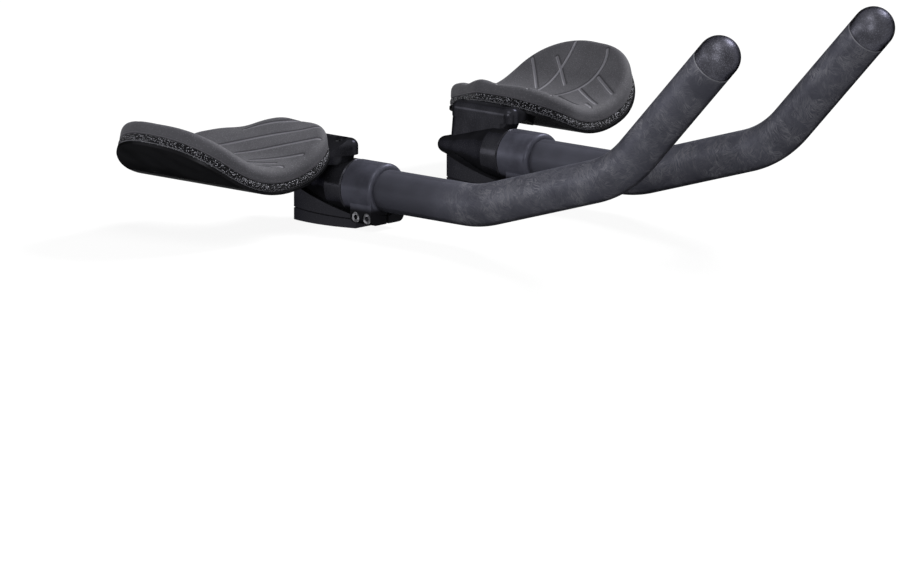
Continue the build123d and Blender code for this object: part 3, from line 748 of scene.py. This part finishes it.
# Shared patterns, whose scales are in cells to the metre
NOISE_SPAN = (0.3, 0.7)
POINT_SPAN = (0.5, 0.1)
RELIEF_SPAN = (0.7, 0.1)
FIBRE_WOBBLE = 140.0
FIBRE_SWAY = (0.006, 0.006, 0.0)
FIBRE_TURN = 2.2
FIBRE_STRETCH = (0.05, 1.0, 1.0)
FIBRE_WIDTH = 0.09
FIBRE_FAINTEST = 0.2
NOISE_MIDDLE = 0.5


def grain_group():
    """Fine grain: two scales of noise, as a close grain and broad clouds."""
    name = "Fine grain"
    if name in bpy.data.node_groups:
        return bpy.data.node_groups[name]
    tree, given, result = new_group(name, ("Scale", "Patch"), ("Grain", "Cloud"))
    fine = noise(tree, given["Place"], given["Scale"], detail=3.0)["Fac"]
    broad = noise(tree, given["Place"], given["Patch"], detail=2.0)["Fac"]
    tree.links.new(ranged(tree, fine, *NOISE_SPAN), result["Grain"])
    tree.links.new(ranged(tree, broad, *NOISE_SPAN), result["Cloud"])
    return tree


def speckle_group():
    """Speckle: small bright points on a random share of cells, with the cells' relief."""
    name = "Speckle"
    if name in bpy.data.node_groups:
        return bpy.data.node_groups[name]
    tree, given, result = new_group(name, ("Scale", "Share"), ("Points", "Relief"))
    distance, random = mosaic(tree, given["Place"], given["Scale"])
    chosen = joined(tree, "LESS_THAN", random[0], given["Share"])
    core = ranged(tree, distance, *POINT_SPAN)
    tree.links.new(joined(tree, "MULTIPLY", chosen, core), result["Points"])
    tree.links.new(ranged(tree, distance, *RELIEF_SPAN), result["Relief"])
    return tree


def fibre_group():
    """Chopped fibres: contour lines of a stretched noise that each cell of a mosaic turns its own way."""
    name = "Chopped fibres"
    if name in bpy.data.node_groups:
        return bpy.data.node_groups[name]
    tree, given, result = new_group(name, ("Cell", "Fineness"), ("Streaks",))
    wobble = noise(tree, given["Place"], FIBRE_WOBBLE, detail=1.0)["Color"]
    centred = vector_step(tree, "SUBTRACT", wobble, (NOISE_MIDDLE,) * 3)
    sway = vector_step(tree, "MULTIPLY", centred, FIBRE_SWAY)
    swayed = vector_step(tree, "ADD", given["Place"], sway)
    _, random = mosaic(tree, swayed, given["Cell"])
    bearing = joined(tree, "MULTIPLY", random[0], FIBRE_TURN)
    spin = {"Vector": swayed, "Angle": bearing}
    turned = add(tree, "ShaderNodeVectorRotate", spin, rotation_type="Z_AXIS").outputs[0]
    stretched = vector_step(tree, "MULTIPLY", turned, FIBRE_STRETCH)
    strands = noise(tree, stretched, given["Fineness"], detail=1.0)["Fac"]
    offset = joined(tree, "SUBTRACT", strands, NOISE_MIDDLE)
    lines = ranged(tree, joined(tree, "ABSOLUTE", offset, 0.0), FIBRE_WIDTH, 0.0)
    strength = faded(tree, random[1], FIBRE_FAINTEST, 1.0)
    tree.links.new(joined(tree, "MULTIPLY", lines, strength), result["Streaks"])
    return tree


def placed(tree, group, place, **values):
    """Results, in order, of a shared group placed in a material with its own values."""
    return add(tree, "ShaderNodeGroup", {"Place": place, **values}, node_tree=group).outputs


def new_material(name, **sockets):
    """Principled material with plain values on its shader's own sockets."""
    material = bpy.data.materials.new(name)
    material.use_nodes = True
    tree = material.node_tree
    shader = tree.nodes["Principled BSDF"]
    for key, value in sockets.items():
        shader.inputs[key.replace("_", " ")].default_value = value
    return material, tree


def satin_material(name, sheen):
    """Dark satin material: a share of sheen that stays dark at grazing angles over plain colour."""
    return new_material(name, Metallic=sheen, Specular_Tint=DARK_EDGE, Specular_IOR_Level=0.0)


def coated(material, colour, mask, height, roughness, relief, strength=1.0):
    """Feeds a material's shader its colour, roughness and bump, and gives the material back.

    The roughness goes between two limits with the mask. relief is the bump's height in metres.
    """
    tree = material.node_tree
    shader = tree.nodes["Principled BSDF"]
    tree.links.new(colour, shader.inputs["Base Color"])
    tree.links.new(faded(tree, mask, *roughness), shader.inputs["Roughness"])
    bump = add(tree, "ShaderNodeBump", {"Height": height, "Distance": relief, "Strength": strength})
    tree.links.new(bump.outputs["Normal"], shader.inputs["Normal"])
    return material


# Finishes of the clamps, with the painted shade at the foot of a piece measured down from the bar's axis
FOOT_SHADE_START = 0.007
FOOT_SHADE_FULL = 0.0105
GLOSS_SPREAD = 0.04
FLECK_SHARE = 0.15
FLECK_TONE = 1.5
WEAR_SPAN = (0.4, 0.9)
WEAR_SHARE = 0.6
WEAR_TONE = 6.0


def alloy_finish(name, tint, foot_shade, gloss, sheen):
    """Blasted and anodised alloy: grain in the roughness, faint clouds and a darker tint at the foot that
    is painted shade below the bar.
    """
    material, tree = satin_material(name, sheen)
    place = object_place(tree)
    fine, cloud = placed(tree, grain_group(), place, Scale=1500.0, Patch=90.0)
    clouded = mottled(tree, cloud, tint, low=0.8, high=1.2)
    flecks = faded(tree, fine, 0.0, FLECK_SHARE)
    flecked = mixed(tree, flecks, clouded, toned(tint, FLECK_TONE))
    # Painted shade: below the bar's axis the colour fades to the darker tint of the foot
    height = vector_part(tree, place, "Z")
    clear_of_shade = ranged(tree, height, AXIS_HEIGHT - FOOT_SHADE_FULL, AXIS_HEIGHT - FOOT_SHADE_START)
    surface = mixed(tree, clear_of_shade, foot_shade, flecked)
    limits = (gloss - GLOSS_SPREAD, gloss + GLOSS_SPREAD)
    return coated(material, surface, fine, fine, roughness=limits, relief=0.000005, strength=0.4)


def steel_finish(name, tint):
    """Blackened steel, with brighter worn patches."""
    material, tree = new_material(name, Metallic=1.0)
    fine, cloud = placed(tree, grain_group(), object_place(tree), Scale=2200.0, Patch=420.0)
    wear = ranged(tree, cloud, *WEAR_SPAN, 0.0, WEAR_SHARE)
    worn = mixed(tree, wear, tint, toned(tint, WEAR_TONE))
    return coated(material, worn, fine, fine, roughness=(0.28, 0.42), relief=0.00002, strength=0.4)


# Fibres of the bar, which start at a station along it, and its pale brim at the open end, partly the cut
# edge's lighter tone and partly a painted highlight
PATTERN_START = 0.092
PATTERN_FULL = 0.112
PATTERN_DRIFT = 0.03
DRIFT_SCALE = 45.0
CLOUD_SCALE = 70.0
CLOUD_SPAN = (0.3, 0.68)
CLOUD_FAINTEST = 0.2
FINE_SHIFT = (0.37, 0.21, 0.0)
BRIM_HIGHLIGHT_START = 0.0008
BRIM_HIGHLIGHT_FULL = 0.0004


def composite_finish(name, tint, fibre, whole):
    """Satin composite: plain where it is clamped, with pale chopped fibres from the first bend on."""
    material, tree = satin_material(name, sheen=0.2)
    place = add(tree, "ShaderNodeUVMap", uv_map="Unrolled").outputs["UV"]
    station = vector_part(tree, place, "X")
    wander = noise(tree, place, DRIFT_SCALE, detail=2.0)["Fac"]
    drift = joined(tree, "MULTIPLY", wander, PATTERN_DRIFT)
    patterned = ranged(tree, joined(tree, "ADD", drift, station), PATTERN_START, PATTERN_FULL)
    (coarse,) = placed(tree, fibre_group(), place, Cell=130.0, Fineness=2100.0)
    shifted = vector_step(tree, "ADD", place, FINE_SHIFT)
    (fine,) = placed(tree, fibre_group(), shifted, Cell=190.0, Fineness=2900.0)
    both = joined(tree, "MAXIMUM", coarse, fine)
    clouds = noise(tree, place, CLOUD_SCALE, detail=3.0)["Fac"]
    patches = ranged(tree, clouds, *CLOUD_SPAN, CLOUD_FAINTEST, 1.0)
    visible = joined(tree, "MULTIPLY", joined(tree, "MULTIPLY", both, patches), patterned)
    matt, cloud = placed(tree, grain_group(), object_place(tree), Scale=1800.0, Patch=40.0)
    ground = mottled(tree, cloud, tint, low=0.88, high=1.12)
    # Pale ring at the open end: partly the lighter cut edge, partly a painted highlight where the rim
    # meets the plug
    brim_and_highlight = ranged(tree, station, whole - BRIM_HIGHLIGHT_START, whole - BRIM_HIGHLIGHT_FULL)
    surface = mixed(tree, brim_and_highlight, mixed(tree, visible, ground, fibre), fibre)
    height = joined(tree, "ADD", matt, visible)
    return coated(material, surface, matt, height, roughness=(0.40, 0.50), relief=0.00002, strength=0.4)


# Tone of the plug's sparkle against its skin
SPARKLE_TONE = 3.2


def plug_finish(name, tint):
    """Moulded plug with a fine sparkle in its skin."""
    material, tree = satin_material(name, sheen=0.85)
    place = object_place(tree)
    points, bumps = placed(tree, speckle_group(), place, Scale=2600.0, Share=0.5)
    fine, cloud = placed(tree, grain_group(), place, Scale=1400.0, Patch=120.0)
    clouded = mottled(tree, cloud, tint, low=0.8, high=1.2)
    surface = mixed(tree, points, clouded, toned(tint, SPARKLE_TONE))
    height = joined(tree, "ADD", fine, bumps)
    return coated(material, surface, fine, height, roughness=(0.36, 0.44), relief=0.00002, strength=0.9)


# Painted shade on the walls of the cup, which are told from its faces by how level they lie
LEVEL_SPAN = (0.45, 0.7)
WALL_SHADE_TONE = 0.3


def shell_finish(name, tint):
    """Satin moulded shell with the faint grain of its mould and painted shade on its walls."""
    material, tree = satin_material(name, sheen=0.45)
    fine, cloud = placed(tree, grain_group(), object_place(tree), Scale=1100.0, Patch=55.0)
    tilt = vector_part(tree, add(tree, "ShaderNodeNewGeometry").outputs["Normal"], "Z")
    level = ranged(tree, joined(tree, "ABSOLUTE", tilt, 0.0), *LEVEL_SPAN)
    moulded = mottled(tree, cloud, tint, low=0.8, high=1.3)
    # Painted shade: the steep walls and lip take a darker copy of the tint
    surface = mixed(tree, level, toned(tint, WALL_SHADE_TONE), moulded)
    return coated(material, surface, cloud, fine, roughness=(0.27, 0.36), relief=0.00002, strength=0.35)


def strip_finish(name, tint):
    """Hook strip: a dense field of tiny hooks."""
    material, tree = new_material(name, Specular_IOR_Level=0.3)
    _, hooks = placed(tree, speckle_group(), object_place(tree), Scale=900.0, Share=1.0)
    surface = mottled(tree, hooks, tint, low=0.5, high=2.0)
    return coated(material, surface, hooks, hooks, roughness=(0.75, 0.5), relief=0.0003)


# Tone of the painted highlight along the knit's hem, against its bright yarns
KNIT_HIGHLIGHT_TONE = 0.3


def knit_finish(name, tint, glint):
    """Spacer knit: dark loops in relief, with glinting yarns here and there and a painted highlight along
    one smooth row of its hem.
    """
    material, tree = new_material(name, Specular_IOR_Level=0.12)
    place = object_place(tree)
    yarns, loops = placed(tree, speckle_group(), place, Scale=1600.0, Share=0.64)
    _, tufts = placed(tree, speckle_group(), place, Scale=620.0, Share=0.5)
    ground = mottled(tree, loops, tint, low=0.4, high=1.6)
    knitted = mixed(tree, yarns, ground, glint)
    # Painted highlight along one row of the hem, which is kept smooth
    knit_highlight = attribute(tree, "hem")
    surface = mixed(tree, knit_highlight, knitted, toned(glint, KNIT_HIGHLIGHT_TONE))
    raised = joined(tree, "ADD", loops, tufts)
    height = joined(tree, "MULTIPLY", raised, joined(tree, "SUBTRACT", 1.0, knit_highlight))
    return coated(material, surface, yarns, height, roughness=(0.8, 0.45), relief=0.0003)


# Pores of the foam, and the painted shade on its grooves' shoulders and painted highlight in their cores
PORE_SHARE = 0.7
PORE_TONE = 1.9
SHOULDER_SPAN = (0.02, 0.2)
SHOULDER_SHADE_SHARE = 0.65
SHOULDER_SHADE_TONE = 0.45
CORE_SPAN = (0.3, 0.7)
CORE_HIGHLIGHT_TONE = 2.5


def foam_finish(name, tint):
    """Moulded closed-cell foam: dull, finely pored, with painted highlight in the grooves and painted
    shade on their shoulders.
    """
    material, tree = new_material(name, Specular_IOR_Level=0.1)
    place = object_place(tree)
    fine, cloud = placed(tree, grain_group(), place, Scale=1500.0, Patch=70.0)
    pores, bumps = placed(tree, speckle_group(), place, Scale=1400.0, Share=0.5)
    furrow_and_highlight = attribute(tree, "furrow_and_highlight")
    clouded = mottled(tree, cloud, tint, low=0.92, high=1.08)
    pored = mixed(tree, faded(tree, pores, 0.0, PORE_SHARE), clouded, toned(tint, PORE_TONE))
    # Painted shade beside each groove, then a painted highlight along its core
    shoulder_shade = ranged(tree, furrow_and_highlight, *SHOULDER_SPAN, 0.0, SHOULDER_SHADE_SHARE)
    shaded = mixed(tree, shoulder_shade, pored, toned(tint, SHOULDER_SHADE_TONE))
    groove_highlit = mixed(tree, ranged(tree, furrow_and_highlight, *CORE_SPAN), shaded, toned(tint, CORE_HIGHLIGHT_TONE))
    height = joined(tree, "ADD", fine, bumps)
    return coated(material, groove_highlit, fine, height, roughness=(0.62, 0.8), relief=0.00005, strength=0.7)


def floor_finish(name, tint, glow):
    """Pale floor that takes a soft shadow and lights up only for rays that show it."""
    material = bpy.data.materials.new(name)
    material.use_nodes = True
    tree = material.node_tree
    tree.nodes.clear()
    diffuse = add(tree, "ShaderNodeBsdfDiffuse", {"Color": (*tint, 1.0)})
    strength = joined(tree, "MULTIPLY", seen_directly(tree), glow)
    lit = add(tree, "ShaderNodeEmission", {"Color": WHITE, "Strength": strength})
    whole = add(tree, "ShaderNodeAddShader", {0: diffuse.outputs[0], 1: lit.outputs[0]})
    add(tree, "ShaderNodeOutputMaterial", {"Surface": whole.outputs[0]})
    return material


def seen_directly(tree):
    """1 for rays from the camera, a reflection or through glass, and 0 for the rest."""
    path = add(tree, "ShaderNodeLightPath").outputs
    shown = joined(tree, "MAXIMUM", path["Is Camera Ray"], path["Is Glossy Ray"])
    return joined(tree, "MAXIMUM", shown, path["Is Transmission Ray"])


def dress_both(piece, material):
    """Gives the right and left node of a piece one material in place of those that they came with."""
    for side in SIDES:
        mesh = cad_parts[f"{side}_{piece}"].data
        mesh.materials.clear()
        mesh.materials.append(material)


def stand_in(piece, material, node, body):
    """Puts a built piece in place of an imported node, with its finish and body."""
    piece.data.materials.append(material)
    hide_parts(node)
    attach(piece, body)


# Operators
class DressClamps(bpy.types.Operator):
    """Finish the base plates, wedges, clamp bodies, brackets and collars"""

    bl_idname = "aero.dress_clamps"
    bl_label = "Clamps"

    def execute(self, context):
        """Anodised black on the carriers and grey on the collars."""
        tints = context.scene.aero_finish
        black = alloy_finish("Black alloy", tints.alloy, tints.alloy, gloss=0.24, sheen=0.5)
        for piece in ("base_plate", "riser_wedge", "clamp_body", "armrest_bracket"):
            dress_both(piece, black)
        # The collars fade to painted shade below the bar
        grey = alloy_finish("Grey alloy", tints.collar, tints.lug_shade, gloss=0.36, sheen=0.25)
        dress_both("clamp_collar", grey)
        return {"FINISHED"}


class DressFasteners(bpy.types.Operator):
    """Finish the pinch bolts, bracket bolts and cup screws"""

    bl_idname = "aero.dress_fasteners"
    bl_label = "Fasteners"

    def execute(self, context):
        """Blackened steel on every bolt and screw."""
        steel = steel_finish("Bolt steel", context.scene.aero_finish.steel)
        for piece in ("pinch_bolts", "bracket_bolts", "cup_screws"):
            dress_both(piece, steel)
        return {"FINISHED"}


class DressCups(bpy.types.Operator):
    """Finish the armrest cups and their hook strips"""

    bl_idname = "aero.dress_cups"
    bl_label = "Cups"

    def execute(self, context):
        """Satin shells, with hook strips on their floors."""
        tints = context.scene.aero_finish
        dress_both("armrest_cup", shell_finish("Cup shell", tints.cup))
        dress_both("hook_strips", strip_finish("Hook strip", tints.strip))
        return {"FINISHED"}


class BuildBars(bpy.types.Operator):
    """Build both bent bars"""

    bl_idname = "aero.build_bars"
    bl_label = "Bars"

    def execute(self, context):
        """Tubes carried along the centre line, with fibres in their surface."""
        tints = context.scene.aero_finish
        whole = bar_line(context.scene.aero_bar)[0][-1]
        material = composite_finish("Bar composite", tints.bar, tints.fibre, whole)
        for side, sign in SIDES.items():
            bar = make_bar(side, sign, context.scene.aero_bar)
            stand_in(bar, material, f"{side}_extension_bar", f"{side}_extension")
        return {"FINISHED"}


class BuildPlugs(bpy.types.Operator):
    """Build both end plugs"""

    bl_idname = "aero.build_plugs"
    bl_label = "End plugs"

    def execute(self, context):
        """Domed plugs seated in the open ends of the tubes."""
        material = plug_finish("Plug skin", context.scene.aero_finish.plug)
        for side, sign in SIDES.items():
            plug = make_plug(side, sign, context.scene.aero_bar)
            stand_in(plug, material, f"{side}_end_plug", f"{side}_extension")
        return {"FINISHED"}


class BuildPads(bpy.types.Operator):
    """Build the foam and the knit layer of both armrest pads"""

    bl_idname = "aero.build_pads"
    bl_label = "Armrest pads"

    def execute(self, context):
        """Grooved foam over a band of knit."""
        scene = context.scene
        tints = scene.aero_finish
        foam = foam_finish("Pad foam", tints.foam)
        knit = knit_finish("Pad knit", tints.mesh, tints.glint)
        for side, sign in SIDES.items():
            pad = make_foam(side, sign, scene.aero_armrest, scene.aero_groove)
            stand_in(pad, foam, f"{side}_pad_top", "mounts")
            layer = make_mesh_layer(side, sign, scene.aero_armrest)
            stand_in(layer, knit, f"{side}_pad_backing", "mounts")
        return {"FINISHED"}


# Soft boxes, with their power in watts
SoftBox = namedtuple("SoftBox", "place aim size power")
LIGHTS = {
    "Key": SoftBox((-1.60, 0.44, 1.52), aim=(0.0, 0.1, 0.05), size=(0.7, 0.7), power=62.0),
    "Overhead": SoftBox((0.45, 0.40, 0.85), aim=(1.0, 0.05, 0.0), size=(0.6, 0.6), power=6.0),
    "Side": SoftBox((1.35, -1.05, 0.25), aim=(0.0, 0.1, 0.05), size=(1.2, 0.5), power=7.0),
    "Front": SoftBox((1.36, 0.93, 0.46), aim=(0.0, 0.15, 0.1), size=(0.4, 0.4), power=7.4),
}


class BuildStage(bpy.types.Operator):
    """Build the floor, the soft lights and the camera"""

    bl_idname = "aero.build_stage"
    bl_label = "Stage"

    def execute(self, context):
        """Pale floor, white surround, soft boxes and the camera."""
        stage = context.scene.aero_stage
        self.lay_floor(context, stage)
        self.light_world(context, stage)
        for name, box in LIGHTS.items():
            self.hang_light(context, name, box)
        self.set_camera(context, stage)
        context.scene.view_settings.view_transform = "Standard"
        return {"FINISHED"}

    def lay_floor(self, context, stage):
        """One large square at the height that the base plates stand on."""
        half = stage.floor_half
        plan = ((-half, -half), (half, -half), (half, half), (-half, half))
        mesh = bpy.data.meshes.new("Floor")
        mesh.from_pydata([(x, y, FLOOR_HEIGHT) for x, y in plan], [], [(0, 1, 2, 3)])
        mesh.materials.append(floor_finish("Floor", context.scene.aero_finish.floor, stage.floor_glow))
        floor = bpy.data.objects.new("Floor", mesh)
        context.scene.collection.objects.link(floor)

    def light_world(self, context, stage):
        """White where it shows and an even fill for the rest."""
        world = bpy.data.worlds.new("Surround")
        world.use_nodes = True
        tree = world.node_tree
        background = tree.nodes["Background"]
        background.inputs["Color"].default_value = WHITE
        strength = faded(tree, seen_directly(tree), stage.world_fill, 1.0)
        tree.links.new(strength, background.inputs["Strength"])
        context.scene.world = world

    def hang_light(self, context, name, box):
        """One soft box at its place, turned towards its aim."""
        lamp = bpy.data.lights.new(name, "AREA")
        lamp.shape = "RECTANGLE"
        lamp.size, lamp.size_y = box.size
        lamp.energy = box.power
        made = bpy.data.objects.new(name, lamp)
        made.location = box.place
        facing = Vector(box.aim) - Vector(box.place)
        made.rotation_euler = facing.to_track_quat("-Z", "Y").to_euler()
        made.visible_camera = False
        context.scene.collection.objects.link(made)

    def set_camera(self, context, stage):
        """Camera on a long lens, aimed so that the viewed point keeps its place in the picture."""
        turn = stage.azimuth
        level = cos(stage.elevation)
        back = Vector((sin(turn) * level, -cos(turn) * level, sin(stage.elevation)))
        right = Vector((cos(turn), sin(turn), 0.0))
        up = back.cross(right)
        viewed = Vector((0.0, stage.viewed_y, stage.viewed_z))
        lens = bpy.data.cameras.new("Camera")
        lens.lens = stage.lens
        lens.sensor_width = stage.sensor
        lens.clip_end = 2 * stage.floor_half
        camera = bpy.data.objects.new("Camera", lens)
        camera.location = viewed + back * stage.distance
        aim = viewed - right * stage.viewed_left - up * stage.viewed_down
        camera.rotation_euler = (aim - camera.location).to_track_quat("-Z", "Y").to_euler()
        context.scene.collection.objects.link(camera)
        context.scene.camera = camera


OPERATORS = (DressClamps, DressFasteners, DressCups, BuildBars, BuildPlugs, BuildPads, BuildStage)


class AeroPanel(bpy.types.Panel):
    """Buttons for each step"""

    bl_idname = "VIEW3D_PT_aero_extension"
    bl_label = "Aero Extension"
    bl_space_type = "VIEW_3D"
    bl_region_type = "UI"
    bl_category = "Aero Extension"

    def draw(self, context):
        """One button for each operator, in the order in which they run."""
        for operator in OPERATORS:
            self.layout.operator(operator.bl_idname)


def register():
    """Register the settings, operators and panel."""
    for key, group in SETTINGS.items():
        bpy.utils.register_class(group)
        setattr(bpy.types.Scene, key, PointerProperty(type=group))
    for kind in (*OPERATORS, AeroPanel):
        bpy.utils.register_class(kind)


def unregister():
    """Remove what register added."""
    for kind in (AeroPanel, *reversed(OPERATORS)):
        bpy.utils.unregister_class(kind)
    for key, group in reversed(SETTINGS.items()):
        delattr(bpy.types.Scene, key)
        bpy.utils.unregister_class(group)


def main():
    """Run every step in order."""
    register()
    for operator in OPERATORS:
        area, name = operator.bl_idname.split(".")
        getattr(getattr(bpy.ops, area), name)()


if __name__ == "__main__":
    main()
